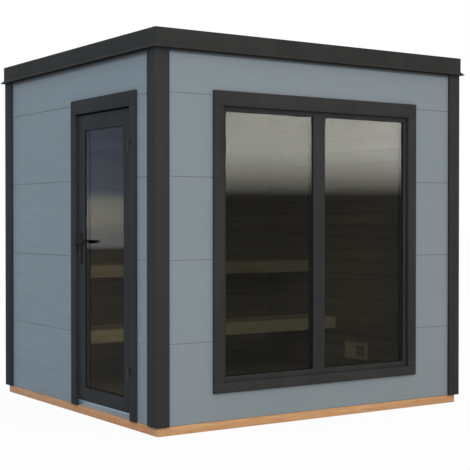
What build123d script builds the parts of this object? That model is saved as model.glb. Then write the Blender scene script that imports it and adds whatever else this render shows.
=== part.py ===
"""Garden sauna: a flat-roofed timber cabin with a wide fixed window, a glazed door and two benches.

Millimetres, +Z up. Everything is laid out from the outer front left corner at ground level, with X
along the window wall and Y back along the door wall, and is moved to the plan centre when saved.
"""
import os

from build123d import *

# Whole building
WIDTH = 2440.0
DEPTH = 2236.0
HEIGHT = 2400.0
JOINT_GAP = 0.4
CUT = 10.0

# Ground frame and floor
BASE_HEIGHT = 55.0
BASE_BEAM_WIDTH = 70.0
BASE_INSET = 21.0
BEARER_WIDTH = 45.0
BEARER_COUNT = 3
FLOOR_THICKNESS = 26.0

# Corner trims and wall build-up
TRIM_THICKNESS = 18.0
CORNER_FRONT_WIDTH = 93.0
CORNER_SIDE_WIDTH = 108.0
PANEL_THICKNESS = 45.0
LINING_THICKNESS = 15.0
BOTTOM_COURSE_HEIGHT = 484.0
TOP_COURSE_HEIGHT = 273.0
PANEL_JOINTS = 4
PANEL_CHAMFER = 3.0

# Flat roof and its folded edge
ROOF_DECK_THICKNESS = 60.0
ROOF_OVERHANG = 3.5
KERB_WIDTH = 45.0
KERB_HEIGHT = 38.0
MEMBRANE_THICKNESS = 4.0
FASCIA_SHEET = 2.0
FASCIA_DROP = 95.0
DRIP_KICK = 22.0

# Casings round the window and the door
CASING_SIDE = 69.0
CASING_HEAD = 91.0
CASING_SILL = 60.0
CASING_COVER = 25.0
CASING_HEAD_LAP = 30.0

# Window
WINDOW_OPENING_WIDTH = 1543.0
WINDOW_OPENING_BOTTOM = 260.0
WINDOW_SET_BACK = 24.0
WINDOW_FRAME_SIDE = 54.0
WINDOW_FRAME_SILL = 61.0
WINDOW_FRAME_HEAD = 92.0
MULLION_WIDTH = 96.0
GLASS_THICKNESS = 24.0
WINDOW_GLASS_SET_BACK = 9.0
GLASS_GROOVE = 12.0
GLASS_EDGE_GAP = 1.0

# Door frame
DOOR_OPENING_START = 299.0
DOOR_OPENING_WIDTH = 786.0
STOP_THICKNESS = 20.0
STOP_WIDTH = 22.0
THRESHOLD_HEIGHT = 39.0
THRESHOLD_SET_BACK = 19.0
THRESHOLD_NOSE = 4.0
THRESHOLD_STEP = 2.0
THRESHOLD_STEP_HEIGHT = 17.0

# Door leaf
LEAF_THICKNESS = 47.0
LEAF_GAP = 5.0
LEAF_HEAD_GAP = 9.0
LEAF_FREE_GAP = 9.0
STILE_WIDTH = 99.0
TOP_RAIL_WIDTH = 102.0
BOTTOM_RAIL_WIDTH = 86.0
DOOR_GLASS_SET_BACK = 6.0

# Door hinges
HINGE_FROM_BOTTOM = 240.0
HINGE_FROM_TOP = 230.0
HINGE_LENGTH = 80.0
HINGE_PLATE_WIDTH = 28.0
HINGE_PLATE_THICKNESS = 2.5
KNUCKLE_RADIUS = 6.5
KNUCKLE_STAND_OFF = 7.5
KNUCKLE_GAP = 0.3
PIN_RADIUS = 3.5
PIN_CLEARANCE = 0.05

# Lever handle set
HANDLE_HEIGHT = 1134.0
HANDLE_BACKSET = 45.0
HANDLE_PLATE_WIDTH = 32.0
HANDLE_PLATE_LENGTH = 204.0
HANDLE_PLATE_ABOVE = 56.0
HANDLE_PLATE_THICKNESS = 8.0
HANDLE_PLATE_BEVEL = 2.5
NECK_RADIUS = 9.0
NECK_LENGTH = 36.0
NECK_CLEARANCE = 0.3
LEVER_LENGTH = 112.0
LEVER_HEIGHT = 22.0
LEVER_THICKNESS = 12.0
LEVER_BEVEL = 3.0
KEY_DROP = 88.0
KEY_RADIUS = 8.5
KEY_PROUD = 3.0

# Benches
UPPER_BENCH_DEPTH = 588.0
UPPER_BENCH_TOP = 952.0
LOWER_BENCH_STEP = 290.0
LOWER_BENCH_TOP = 515.0
LOWER_BENCH_DEPTH = 370.0
BENCH_BOARD_HEIGHT = 90.0
BENCH_BOARD_THICKNESS = 28.0
BENCH_SLAT_THICKNESS = 28.0
BENCH_RAIL_WIDTH = 45.0
BENCH_RAIL_COUNT = 4
BENCH_EDGE = 3.0
SLAT_GAP = 14.0
UPPER_SLATS = 5
LOWER_SLATS = 3

# Sliding air vent on the right-hand wall
VENT_START = 894.0
VENT_LENGTH = 251.0
VENT_BOTTOM = 210.0
VENT_HEIGHT = 124.0
VENT_THICKNESS = 20.0
VENT_BORDER = 20.0
VENT_SLIDER_LENGTH = 100.0
VENT_SLIDER_THICKNESS = 6.0
VENT_END_GAP = 5.0
VENT_TONGUE = 5.0
VENT_PLAY = 0.5
VENT_GRIP_WIDTH = 12.0
VENT_GRIP_PROUD = 5.0
VENT_GRIP_SETTING = 14.0

# Planes that several pieces share
PANEL_FACE = TRIM_THICKNESS
LINING_FACE = PANEL_FACE + PANEL_THICKNESS
ROOM_FACE = LINING_FACE + LINING_THICKNESS
FLOOR_TOP = BASE_HEIGHT + FLOOR_THICKNESS
KERB_TOP = HEIGHT - FASCIA_SHEET
DECK_TOP = KERB_TOP - KERB_HEIGHT
WALL_TOP = DECK_TOP - ROOF_DECK_THICKNESS
CEILING = WALL_TOP - LINING_THICKNESS
FIRST_JOINT_HEIGHT = BASE_HEIGHT + BOTTOM_COURSE_HEIGHT
OPENING_TOP = WALL_TOP - TOP_COURSE_HEIGHT
PANEL_PITCH = (OPENING_TOP - FIRST_JOINT_HEIGHT) / (PANEL_JOINTS - 1)
HEAD_BOTTOM = OPENING_TOP + CASING_HEAD_LAP - CASING_HEAD

os.makedirs("parts", exist_ok=True)


def block(x, y, z):
    """A square-edged piece between pairs of coordinates along X, Y and Z."""
    middle = Pos((x[0] + x[1]) / 2, (y[0] + y[1]) / 2, (z[0] + z[1]) / 2)
    return middle * Box(x[1] - x[0], y[1] - y[0], z[1] - z[0])


def along_x(outline, x):
    """An outline of (y, z) points drawn out along X."""
    face = make_face(Polyline(*outline, close=True))
    return extrude(Plane.YZ.offset(x[0]) * face, x[1] - x[0])


def along_y(outline, y):
    """An outline of (x, z) points drawn out along Y."""
    face = make_face(Polyline(*outline, close=True))
    return extrude(Plane.XZ.offset(-y[1]) * face, y[1] - y[0])


def round_bar(radius, x, y, z):
    """A round bar along X, centred on y and z."""
    return Pos((x[0] + x[1]) / 2, y, z) * Rot(0, 90, 0) * Cylinder(radius, x[1] - x[0])


def upright_bar(radius, x, y, z):
    """A round bar along Z, centred on x and y."""
    return Pos(x, y, (z[0] + z[1]) / 2) * Cylinder(radius, z[1] - z[0])


def save(node, *pieces):
    """Write the solids of one node, moved from the corner to the plan centre."""
    moved = [Pos(-WIDTH / 2, -DEPTH / 2, 0) * solid for piece in pieces for solid in piece.solids()]
    export_step(Compound(moved) if len(moved) > 1 else moved[0], f"parts/{node}.step")


def mirrored_x(piece):
    """The same piece on the other side of the building's middle plane across X."""
    return mirror(piece, Plane.YZ.offset(WIDTH / 2))


def mirrored_y(piece):
    """The same piece on the other side of the building's middle plane across Y."""
    return mirror(piece, Plane.XZ.offset(-DEPTH / 2))


# Ground frame: two long beams, two short beams between them, and bearers under the floor
beam_inner = BASE_INSET + BASE_BEAM_WIDTH
beam_rise = (0, BASE_HEIGHT)
front_beam = block((BASE_INSET, WIDTH - BASE_INSET), (BASE_INSET, beam_inner), beam_rise)
left_beam = block((BASE_INSET, beam_inner), (beam_inner, DEPTH - beam_inner), beam_rise)
save("base_beams_long", front_beam, mirrored_y(front_beam))
save("base_beams_short", left_beam, mirrored_x(left_beam))

bearer_run = (beam_inner, DEPTH - beam_inner)
bearers = []
for number in range(BEARER_COUNT):
    middle = WIDTH * (number + 1) / (BEARER_COUNT + 1)
    bearers.append(block((middle - BEARER_WIDTH / 2, middle + BEARER_WIDTH / 2), bearer_run, beam_rise))
save("floor_bearers", *bearers)

# Door opening, its lining boards and the space that they leave
door_open = (DOOR_OPENING_START, DOOR_OPENING_START + DOOR_OPENING_WIDTH)
jamb_width = CASING_COVER
door_clear = (door_open[0] + jamb_width, door_open[1] - jamb_width)
leaf_face = PANEL_FACE
leaf_back = leaf_face + LEAF_THICKNESS
stop_face = leaf_back + LEAF_GAP
jamb_back = stop_face + STOP_THICKNESS
threshold_top = BASE_HEIGHT + THRESHOLD_HEIGHT

# Floor, notched round the door frame
floor = block((ROOM_FACE, WIDTH - ROOM_FACE), (ROOM_FACE, DEPTH - ROOM_FACE), (BASE_HEIGHT, FLOOR_TOP))
floor -= block((ROOM_FACE - CUT, jamb_back), door_open, (BASE_HEIGHT - CUT, FLOOR_TOP + CUT))
save("floor_deck", floor)

# Corner trims: one angle at each corner, from the ground frame up to the roof deck
corner_plan = Polyline(
    (0, 0),
    (CORNER_FRONT_WIDTH, 0),
    (CORNER_FRONT_WIDTH, TRIM_THICKNESS),
    (TRIM_THICKNESS, TRIM_THICKNESS),
    (TRIM_THICKNESS, CORNER_SIDE_WIDTH),
    (0, CORNER_SIDE_WIDTH),
    close=True,
)
front_left = Pos(0, 0, BASE_HEIGHT) * extrude(make_face(corner_plan), WALL_TOP - BASE_HEIGHT)
front_right = mirrored_x(front_left)
save("corner_posts_front", front_left, front_right)
save("corner_posts_back", mirrored_y(front_left), mirrored_y(front_right))

# Wall panels: five courses with a V joint between them
course_edges = [BASE_HEIGHT]
for number in range(PANEL_JOINTS):
    course_edges.append(FIRST_JOINT_HEIGHT + PANEL_PITCH * number)
course_edges.append(WALL_TOP)


def course_rise(number):
    """Bottom and top of a course, with half the joint gap off each inner end."""
    last = len(course_edges) - 2
    bottom = course_edges[number] + (JOINT_GAP / 2 if number > 0 else 0)
    top = course_edges[number + 1] - (JOINT_GAP / 2 if number < last else 0)
    return bottom, top


def panel_outline(number):
    """Section of a course: depth from the building's face, and height, with eased outer edges."""
    bottom, top = course_rise(number)
    eased = PANEL_FACE + PANEL_CHAMFER
    return [
        (eased, bottom),
        (LINING_FACE, bottom),
        (LINING_FACE, top),
        (eased, top),
        (PANEL_FACE, top - PANEL_CHAMFER),
        (PANEL_FACE, bottom + PANEL_CHAMFER),
    ]


def front_course(number, x):
    return along_x(panel_outline(number), x)


def side_course(number, y):
    return along_y(panel_outline(number), y)


courses = range(len(course_edges) - 1)
top_course = courses[-1]
front_run = (PANEL_FACE, WIDTH - PANEL_FACE)
side_run = (LINING_FACE, DEPTH - LINING_FACE)
window_left = (WIDTH - WINDOW_OPENING_WIDTH) / 2
window_open = (window_left, WIDTH - window_left)

bottom_course = front_course(0, front_run)
window_rise_cut = (WINDOW_OPENING_BOTTOM, FIRST_JOINT_HEIGHT + CUT)
bottom_course -= block(window_open, (PANEL_FACE - CUT, LINING_FACE + CUT), window_rise_cut)
save("front_panel_bottom", bottom_course)
beside_window = [front_course(number, (front_run[0], window_open[0])) for number in courses[1:-1]]
save("front_panels_left", *beside_window)
save("front_panels_right", *[mirrored_x(piece) for piece in beside_window])
save("front_panel_top", front_course(top_course, front_run))

near_run = (side_run[0], door_open[0])
far_run = (door_open[1], side_run[1])
save("door_wall_panels_near", *[side_course(number, near_run) for number in courses[:-1]])
save("door_wall_panels_far", *[side_course(number, far_run) for number in courses[:-1]])
save("door_wall_panel_top", side_course(top_course, side_run))
save("back_wall_panels", *[mirrored_y(front_course(number, front_run)) for number in courses])
save("right_wall_panels", *[mirrored_x(side_course(number, side_run)) for number in courses])

# Inner lining of the four walls and the ceiling
lining_depth = (LINING_FACE, ROOM_FACE)
lining_rise = (BASE_HEIGHT, WALL_TOP)
lining_x = (LINING_FACE, WIDTH - LINING_FACE)
lining_y = (ROOM_FACE, DEPTH - ROOM_FACE)
over_opening = (OPENING_TOP, WALL_TOP)
beside_opening = (BASE_HEIGHT, OPENING_TOP - JOINT_GAP)
under_window = (BASE_HEIGHT, WINDOW_OPENING_BOTTOM)
lining_beside = block((lining_x[0], window_open[0]), lining_depth, beside_opening)
save(
    "front_lining",
    lining_beside,
    mirrored_x(lining_beside),
    block(lining_x, lining_depth, over_opening),
    block((window_open[0] + JOINT_GAP, window_open[1] - JOINT_GAP), lining_depth, under_window),
)
save(
    "door_wall_lining",
    block(lining_depth, (lining_y[0], door_open[0]), beside_opening),
    block(lining_depth, (door_open[1], lining_y[1]), beside_opening),
    block(lining_depth, lining_y, over_opening),
)
save("back_lining", mirrored_y(block(lining_x, lining_depth, lining_rise)))

vent_end = VENT_START + VENT_LENGTH
vent_top = VENT_BOTTOM + VENT_HEIGHT
vent_run = (VENT_START + VENT_BORDER, vent_end - VENT_BORDER)
vent_rise = (VENT_BOTTOM + VENT_BORDER, vent_top - VENT_BORDER)
room_right = WIDTH - ROOM_FACE
slider_start = vent_run[1] - VENT_END_GAP - VENT_SLIDER_LENGTH
air_hole = (vent_run[0], slider_start - VENT_END_GAP)
right_lining = mirrored_x(block(lining_depth, lining_y, lining_rise))
right_lining -= block((room_right - CUT, WIDTH - LINING_FACE + CUT), air_hole, vent_rise)
save("right_lining", right_lining)
save("ceiling_lining", block((ROOM_FACE, room_right), lining_y, (CEILING, WALL_TOP)))

# Window casing: boards planted on the panels round the opening
casing_depth = (0, TRIM_THICKNESS)
head_rise = (HEAD_BOTTOM, OPENING_TOP + CASING_HEAD_LAP)
casing_inner = window_open[0] + CASING_COVER
casing_outer = casing_inner - CASING_SIDE
sill_rise = (WINDOW_OPENING_BOTTOM + CASING_COVER - CASING_SILL, WINDOW_OPENING_BOTTOM + CASING_COVER)
casing_jamb_rise = (sill_rise[1] + JOINT_GAP, HEAD_BOTTOM - JOINT_GAP)
casing_jamb = block((casing_outer, casing_inner), casing_depth, casing_jamb_rise)
casing_run = (casing_outer, WIDTH - casing_outer)
save(
    "window_casing",
    casing_jamb,
    mirrored_x(casing_jamb),
    block(casing_run, casing_depth, head_rise),
    block(casing_run, casing_depth, sill_rise),
)

# Window frame: four grooved bars and a mullion that hold two sealed glass units
frame_depth = (WINDOW_SET_BACK, ROOM_FACE)
pane_face = WINDOW_SET_BACK + WINDOW_GLASS_SET_BACK
pane_depth = (pane_face, pane_face + GLASS_THICKNESS)
sight_x = (window_open[0] + WINDOW_FRAME_SIDE, window_open[1] - WINDOW_FRAME_SIDE)
sight_z = (WINDOW_OPENING_BOTTOM + WINDOW_FRAME_SILL, OPENING_TOP - WINDOW_FRAME_HEAD)
groove_x = (sight_x[0] - GLASS_GROOVE, sight_x[1] + GLASS_GROOVE)
groove_z = (sight_z[0] - GLASS_GROOVE, sight_z[1] + GLASS_GROOVE)
groove = block(groove_x, pane_depth, groove_z)
bar_rise = (sight_z[0] + JOINT_GAP, sight_z[1] - JOINT_GAP)
frame_left = block((window_open[0], sight_x[0]), frame_depth, bar_rise) - groove
frame_sill = block(window_open, frame_depth, (WINDOW_OPENING_BOTTOM, sight_z[0])) - groove
frame_head = block(window_open, frame_depth, (sight_z[1], OPENING_TOP)) - groove
save("window_frame", frame_left, mirrored_x(frame_left), frame_sill, frame_head)

mullion_x = ((WIDTH - MULLION_WIDTH) / 2, (WIDTH + MULLION_WIDTH) / 2)
mullion_web = (mullion_x[0] + GLASS_GROOVE, mullion_x[1] - GLASS_GROOVE)
mullion = block(mullion_x, frame_depth, sight_z)
mullion -= block((mullion_x[0] - CUT, mullion_web[0]), pane_depth, groove_z)
mullion -= block((mullion_web[1], mullion_x[1] + CUT), pane_depth, groove_z)
save("window_mullion", mullion)

pane_x = (groove_x[0] + GLASS_EDGE_GAP, mullion_web[0] - GLASS_EDGE_GAP)
pane_z = (groove_z[0] + GLASS_EDGE_GAP, groove_z[1] - GLASS_EDGE_GAP)
pane = block(pane_x, pane_depth, pane_z)
save("window_glass", pane, mirrored_x(pane))

# Door casing, on the same lines as the window's
door_casing_rise = (BASE_HEIGHT, HEAD_BOTTOM - JOINT_GAP)
near_casing = (door_clear[0] - CASING_SIDE, door_clear[0])
far_casing = (door_clear[1], door_clear[1] + CASING_SIDE)
save(
    "door_casing",
    block(casing_depth, near_casing, door_casing_rise),
    block(casing_depth, far_casing, door_casing_rise),
    block(casing_depth, (near_casing[0], far_casing[1]), head_rise),
)

# Door frame: two jambs and a head, each rebated so that the leaf shuts against a stop
stop_top = HEAD_BOTTOM - STOP_WIDTH
jamb_depth = (PANEL_FACE, jamb_back)
stop_depth = (stop_face, jamb_back)
stop_rise = (threshold_top, stop_top)
near_jamb = block(jamb_depth, (door_open[0], door_clear[0]), (BASE_HEIGHT, OPENING_TOP))
near_jamb += block(stop_depth, (door_clear[0], door_clear[0] + STOP_WIDTH), stop_rise)
far_jamb = block(jamb_depth, (door_clear[1], door_open[1]), (BASE_HEIGHT, OPENING_TOP))
far_jamb += block(stop_depth, (door_clear[1] - STOP_WIDTH, door_clear[1]), stop_rise)
save("door_jambs", near_jamb, far_jamb)
door_head = block(jamb_depth, door_clear, (HEAD_BOTTOM, OPENING_TOP))
door_head += block(stop_depth, door_clear, (stop_top, HEAD_BOTTOM))
save("door_head", door_head)
threshold_step = BASE_HEIGHT + THRESHOLD_STEP_HEIGHT
threshold_outline = [
    (THRESHOLD_SET_BACK + THRESHOLD_STEP, BASE_HEIGHT),
    (jamb_back, BASE_HEIGHT),
    (jamb_back, threshold_top),
    (THRESHOLD_SET_BACK + THRESHOLD_NOSE, threshold_top),
    (THRESHOLD_SET_BACK, threshold_top - THRESHOLD_NOSE),
    (THRESHOLD_SET_BACK, threshold_step),
    (THRESHOLD_SET_BACK + THRESHOLD_STEP, threshold_step),
]
save("door_threshold", along_y(threshold_outline, door_clear))

# Door leaf: grooved stiles and rails round one sealed glass unit
leaf_y = (door_clear[0] + LEAF_GAP, door_clear[1] - LEAF_FREE_GAP)
leaf_z = (threshold_top + LEAF_GAP, HEAD_BOTTOM - LEAF_HEAD_GAP)
leaf_x = (leaf_face, leaf_back)
door_pane_face = leaf_face + DOOR_GLASS_SET_BACK
door_pane_x = (door_pane_face, door_pane_face + GLASS_THICKNESS)
door_sight_y = (leaf_y[0] + STILE_WIDTH, leaf_y[1] - STILE_WIDTH)
door_sight_z = (leaf_z[0] + BOTTOM_RAIL_WIDTH, leaf_z[1] - TOP_RAIL_WIDTH)
door_groove_y = (door_sight_y[0] - GLASS_GROOVE, door_sight_y[1] + GLASS_GROOVE)
door_groove_z = (door_sight_z[0] - GLASS_GROOVE, door_sight_z[1] + GLASS_GROOVE)
door_groove = block(door_pane_x, door_groove_y, door_groove_z)
spindle_y = leaf_y[1] - HANDLE_BACKSET
key_height = HANDLE_HEIGHT - KEY_DROP
through_leaf = (leaf_face - CUT, leaf_back + CUT)
hinge_stile = block(leaf_x, (leaf_y[0], door_sight_y[0]), leaf_z) - door_groove
lock_stile = block(leaf_x, (door_sight_y[1], leaf_y[1]), leaf_z) - door_groove
lock_stile -= round_bar(NECK_RADIUS + NECK_CLEARANCE, through_leaf, spindle_y, HANDLE_HEIGHT)
lock_stile -= round_bar(KEY_RADIUS, through_leaf, spindle_y, key_height)
rail_y = (door_sight_y[0] + JOINT_GAP, door_sight_y[1] - JOINT_GAP)
top_rail = block(leaf_x, rail_y, (door_sight_z[1], leaf_z[1])) - door_groove
bottom_rail = block(leaf_x, rail_y, (leaf_z[0], door_sight_z[0])) - door_groove
save("door_stiles", hinge_stile, lock_stile)
save("door_rails", top_rail, bottom_rail)
door_pane_y = (door_groove_y[0] + GLASS_EDGE_GAP, door_groove_y[1] - GLASS_EDGE_GAP)
door_pane_z = (door_groove_z[0] + GLASS_EDGE_GAP, door_groove_z[1] - GLASS_EDGE_GAP)
save("door_glass", block(door_pane_x, door_pane_y, door_pane_z))

# Lift-off hinges: the casing's half carries the pin, and the leaf's half drops over it
axis_x = -KNUCKLE_STAND_OFF
axis_y = door_clear[0]
plate_end = axis_y + LEAF_GAP
casing_halves = []
leaf_halves = []
for height in (leaf_z[0] + HINGE_FROM_BOTTOM, leaf_z[1] - HINGE_FROM_TOP):
    low = (height - HINGE_LENGTH / 2, height - KNUCKLE_GAP / 2)
    high = (height + KNUCKLE_GAP / 2, height + HINGE_LENGTH / 2)
    pin_rise = (low[0], high[1] - PIN_RADIUS)
    casing_half = upright_bar(KNUCKLE_RADIUS, axis_x, axis_y, low)
    casing_half += upright_bar(PIN_RADIUS, axis_x, axis_y, pin_rise)
    casing_half += block((-HINGE_PLATE_THICKNESS, 0), (axis_y - HINGE_PLATE_WIDTH, axis_y), low)
    casing_halves.append(casing_half)
    strap = block((axis_x, leaf_face), (plate_end, plate_end + HINGE_PLATE_THICKNESS), high)
    flap_y = (plate_end, plate_end + HINGE_PLATE_WIDTH)
    strap += block((leaf_face - HINGE_PLATE_THICKNESS, leaf_face), flap_y, high)
    leaf_half = upright_bar(KNUCKLE_RADIUS, axis_x, axis_y, high) + strap
    bore_rise = (high[0] - CUT, high[1] - PIN_RADIUS + KNUCKLE_GAP)
    leaf_half -= upright_bar(PIN_RADIUS + PIN_CLEARANCE, axis_x, axis_y, bore_rise)
    leaf_halves.append(leaf_half)
save("hinge_halves_casing", *casing_halves)
save("hinge_halves_leaf", *leaf_halves)

# Lever handles: a long plate on each face, two levers on one spindle and a key cylinder below
plate_top = HANDLE_HEIGHT + HANDLE_PLATE_ABOVE
plate_middle = plate_top - HANDLE_PLATE_LENGTH / 2
outer_plate_x = (leaf_face - HANDLE_PLATE_THICKNESS, leaf_face)
inner_plate_x = (leaf_back, leaf_back + HANDLE_PLATE_THICKNESS)


def handle_plate(x, shown_face):
    """A round-ended plate with holes for the lever's neck and the key cylinder."""
    outline = Rot(0, 0, 90) * SlotOverall(HANDLE_PLATE_LENGTH, HANDLE_PLATE_WIDTH)
    back = Plane((x[0], spindle_y, plate_middle), x_dir=(0, 1, 0), z_dir=(1, 0, 0))
    plate = extrude(back * outline, x[1] - x[0])
    shown = plate.faces().sort_by(Axis.X)[shown_face]
    plate = chamfer(shown.edges(), HANDLE_PLATE_BEVEL)
    plate -= round_bar(NECK_RADIUS + NECK_CLEARANCE, (x[0] - CUT, x[1] + CUT), spindle_y, HANDLE_HEIGHT)
    return plate - round_bar(KEY_RADIUS, (x[0] - CUT, x[1] + CUT), spindle_y, key_height)


def lever_bar(x):
    """A round-ended bar that points from the spindle towards the hinges."""
    overall = LEVER_LENGTH + LEVER_HEIGHT / 2
    middle_y = spindle_y + LEVER_HEIGHT / 2 - overall / 2
    outline = Plane((x[0], middle_y, HANDLE_HEIGHT), x_dir=(0, 1, 0), z_dir=(1, 0, 0))
    bar = extrude(outline * SlotOverall(overall, LEVER_HEIGHT), x[1] - x[0])
    sides = bar.faces().sort_by(Axis.X)
    return chamfer(sides[0].edges() + sides[-1].edges(), LEVER_BEVEL)


save("handle_plates", handle_plate(outer_plate_x, 0), handle_plate(inner_plate_x, -1))
outer_lever_x = (outer_plate_x[0] - NECK_LENGTH, outer_plate_x[0] - NECK_LENGTH + LEVER_THICKNESS)
inner_lever_x = (inner_plate_x[1] + NECK_LENGTH - LEVER_THICKNESS, inner_plate_x[1] + NECK_LENGTH)
levers = round_bar(NECK_RADIUS, (outer_lever_x[1], inner_lever_x[0]), spindle_y, HANDLE_HEIGHT)
levers += lever_bar(outer_lever_x) + lever_bar(inner_lever_x)
save("door_levers", levers)
key_x = (outer_plate_x[0] - KEY_PROUD, inner_plate_x[1] + KEY_PROUD)
save("lock_cylinder", round_bar(KEY_RADIUS, key_x, spindle_y, key_height))

# Roof: deck, kerb and membrane
roof_x = (-ROOF_OVERHANG, WIDTH + ROOF_OVERHANG)
roof_y = (-ROOF_OVERHANG, DEPTH + ROOF_OVERHANG)
kerb_rise = (DECK_TOP, KERB_TOP)
kerb_inner_x = (roof_x[0] + KERB_WIDTH, roof_x[1] - KERB_WIDTH)
kerb_inner_y = (roof_y[0] + KERB_WIDTH, roof_y[1] - KERB_WIDTH)
save("roof_deck", block(roof_x, roof_y, (WALL_TOP, DECK_TOP)))
front_kerb = block(roof_x, (roof_y[0], kerb_inner_y[0]), kerb_rise)
kerb_between = (kerb_inner_y[0] + JOINT_GAP, kerb_inner_y[1] - JOINT_GAP)
left_kerb = block((roof_x[0], kerb_inner_x[0]), kerb_between, kerb_rise)
save("roof_kerb", front_kerb, mirrored_y(front_kerb), left_kerb, mirrored_x(left_kerb))
save("roof_membrane", block(kerb_inner_x, kerb_inner_y, (DECK_TOP, DECK_TOP + MEMBRANE_THICKNESS)))

# Fascia: sheet folded over the kerb, down the face and out in a drip, mitred at the corners
kick_top = HEIGHT - FASCIA_DROP
kick_bottom = kick_top - DRIP_KICK
sheet_back = -ROOF_OVERHANG
sheet_face = sheet_back - FASCIA_SHEET
fascia_outline = [
    (sheet_back + KERB_WIDTH, KERB_TOP),
    (sheet_back + KERB_WIDTH, HEIGHT),
    (sheet_face, HEIGHT),
    (sheet_face, kick_top),
    (sheet_face - DRIP_KICK, kick_bottom),
    (sheet_back - DRIP_KICK, kick_bottom),
    (sheet_back, kick_top),
    (sheet_back, KERB_TOP),
]
reach = DRIP_KICK + CUT
fascia_run_x = (sheet_face - reach, WIDTH - sheet_face + reach)
fascia_run_y = (sheet_face - reach, DEPTH - sheet_face + reach)


def mitre_wedge(length):
    """The plan area of one side between its two corner mitres, a joint gap short of them."""
    outside = sheet_face - reach
    inside = sheet_back + KERB_WIDTH + CUT
    plan = Polyline(
        (outside + JOINT_GAP, outside),
        (length - outside - JOINT_GAP, outside),
        (length - inside - JOINT_GAP, inside),
        (inside + JOINT_GAP, inside),
        close=True,
    )
    return extrude(make_face(plan), HEIGHT + CUT)


front_fascia = along_x(fascia_outline, fascia_run_x) & mitre_wedge(WIDTH)
left_fascia = along_y(fascia_outline, fascia_run_y)
left_fascia &= mirror(mitre_wedge(DEPTH), Plane(origin=(0, 0, 0), z_dir=(1, -1, 0)))
save("roof_fascia", front_fascia, mirrored_y(front_fascia), left_fascia, mirrored_x(left_fascia))

# Benches: boards along the room on cross rails that run back from the front board
bench_x = (ROOM_FACE, room_right)


def bench_slat(y, top):
    """A seat board with its long upper edges eased."""
    bottom = top - BENCH_SLAT_THICKNESS
    eased = top - BENCH_EDGE
    outline = [
        (y[0], bottom),
        (y[1], bottom),
        (y[1], eased),
        (y[1] - BENCH_EDGE, top),
        (y[0] + BENCH_EDGE, top),
        (y[0], eased),
    ]
    return along_x(outline, bench_x)


def bench_slats(y, top, count):
    """A row of equal seat boards, with a gap before each of them."""
    width = (y[1] - y[0]) / count - SLAT_GAP
    starts = [y[0] + SLAT_GAP + (width + SLAT_GAP) * number for number in range(count)]
    return [bench_slat((start, start + width), top) for start in starts]


def bench_rails(y, top):
    """Cross rails under the seat boards, the end ones against the side walls."""
    step = (bench_x[1] - bench_x[0] - BENCH_RAIL_WIDTH) / (BENCH_RAIL_COUNT - 1)
    rise = (top - BENCH_BOARD_HEIGHT, top - BENCH_SLAT_THICKNESS)
    starts = [bench_x[0] + step * number for number in range(BENCH_RAIL_COUNT)]
    return [block((start, start + BENCH_RAIL_WIDTH), y, rise) for start in starts]


def bench_board(start, top):
    """An edge board that hides the rails' ends."""
    return block(bench_x, (start, start + BENCH_BOARD_THICKNESS), (top - BENCH_BOARD_HEIGHT, top))


upper_front = DEPTH - ROOM_FACE - UPPER_BENCH_DEPTH
upper_y = (upper_front + BENCH_BOARD_THICKNESS, DEPTH - ROOM_FACE)
save("upper_bench_front", bench_board(upper_front, UPPER_BENCH_TOP))
save("upper_bench_slats", *bench_slats(upper_y, UPPER_BENCH_TOP, UPPER_SLATS))
save("upper_bench_rails", *bench_rails(upper_y, UPPER_BENCH_TOP))
lower_front = upper_front - LOWER_BENCH_STEP
lower_back = lower_front + LOWER_BENCH_DEPTH
lower_y = (lower_front + BENCH_BOARD_THICKNESS, lower_back)
lower_edges = (bench_board(lower_front, LOWER_BENCH_TOP), bench_board(lower_back, LOWER_BENCH_TOP))
save("lower_bench_front", *lower_edges)
save("lower_bench_slats", *bench_slats((lower_y[0], lower_y[1] - SLAT_GAP), LOWER_BENCH_TOP, LOWER_SLATS))
save("lower_bench_rails", *bench_rails(lower_y, LOWER_BENCH_TOP))

# Air vent: a grooved frame on the right-hand lining and a shutter that slides along it
vent_face = room_right - VENT_THICKNESS
slider_back = room_right - VENT_THICKNESS / 2 + VENT_SLIDER_THICKNESS / 2
slider_x = (slider_back - VENT_SLIDER_THICKNESS, slider_back)
vent_groove_x = (slider_x[0] - VENT_PLAY, slider_x[1] + VENT_PLAY)
vent_groove_z = (vent_rise[0] - VENT_TONGUE - VENT_PLAY, vent_rise[1] + VENT_TONGUE + VENT_PLAY)
vent_frame = block((vent_face, room_right), (VENT_START, vent_end), (VENT_BOTTOM, vent_top))
vent_frame -= block((vent_face - CUT, room_right + CUT), vent_run, vent_rise)
vent_frame -= block(vent_groove_x, vent_run, vent_groove_z)
save("air_vent_frame", vent_frame)
slider_y = (slider_start, slider_start + VENT_SLIDER_LENGTH)
slider_z = (vent_rise[0] - VENT_TONGUE, vent_rise[1] + VENT_TONGUE)
grip_start = slider_start + VENT_GRIP_SETTING
grip_z = (vent_rise[0] + VENT_BORDER / 2, vent_rise[1] - VENT_BORDER / 2)
grip_y = (grip_start, grip_start + VENT_GRIP_WIDTH)
slider = block(slider_x, slider_y, slider_z)
slider += block((slider_x[0] - VENT_GRIP_PROUD, slider_x[0]), grip_y, grip_z)
save("air_vent_slider", slider)
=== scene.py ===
"""A garden sauna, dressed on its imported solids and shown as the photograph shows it."""
import math

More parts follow.
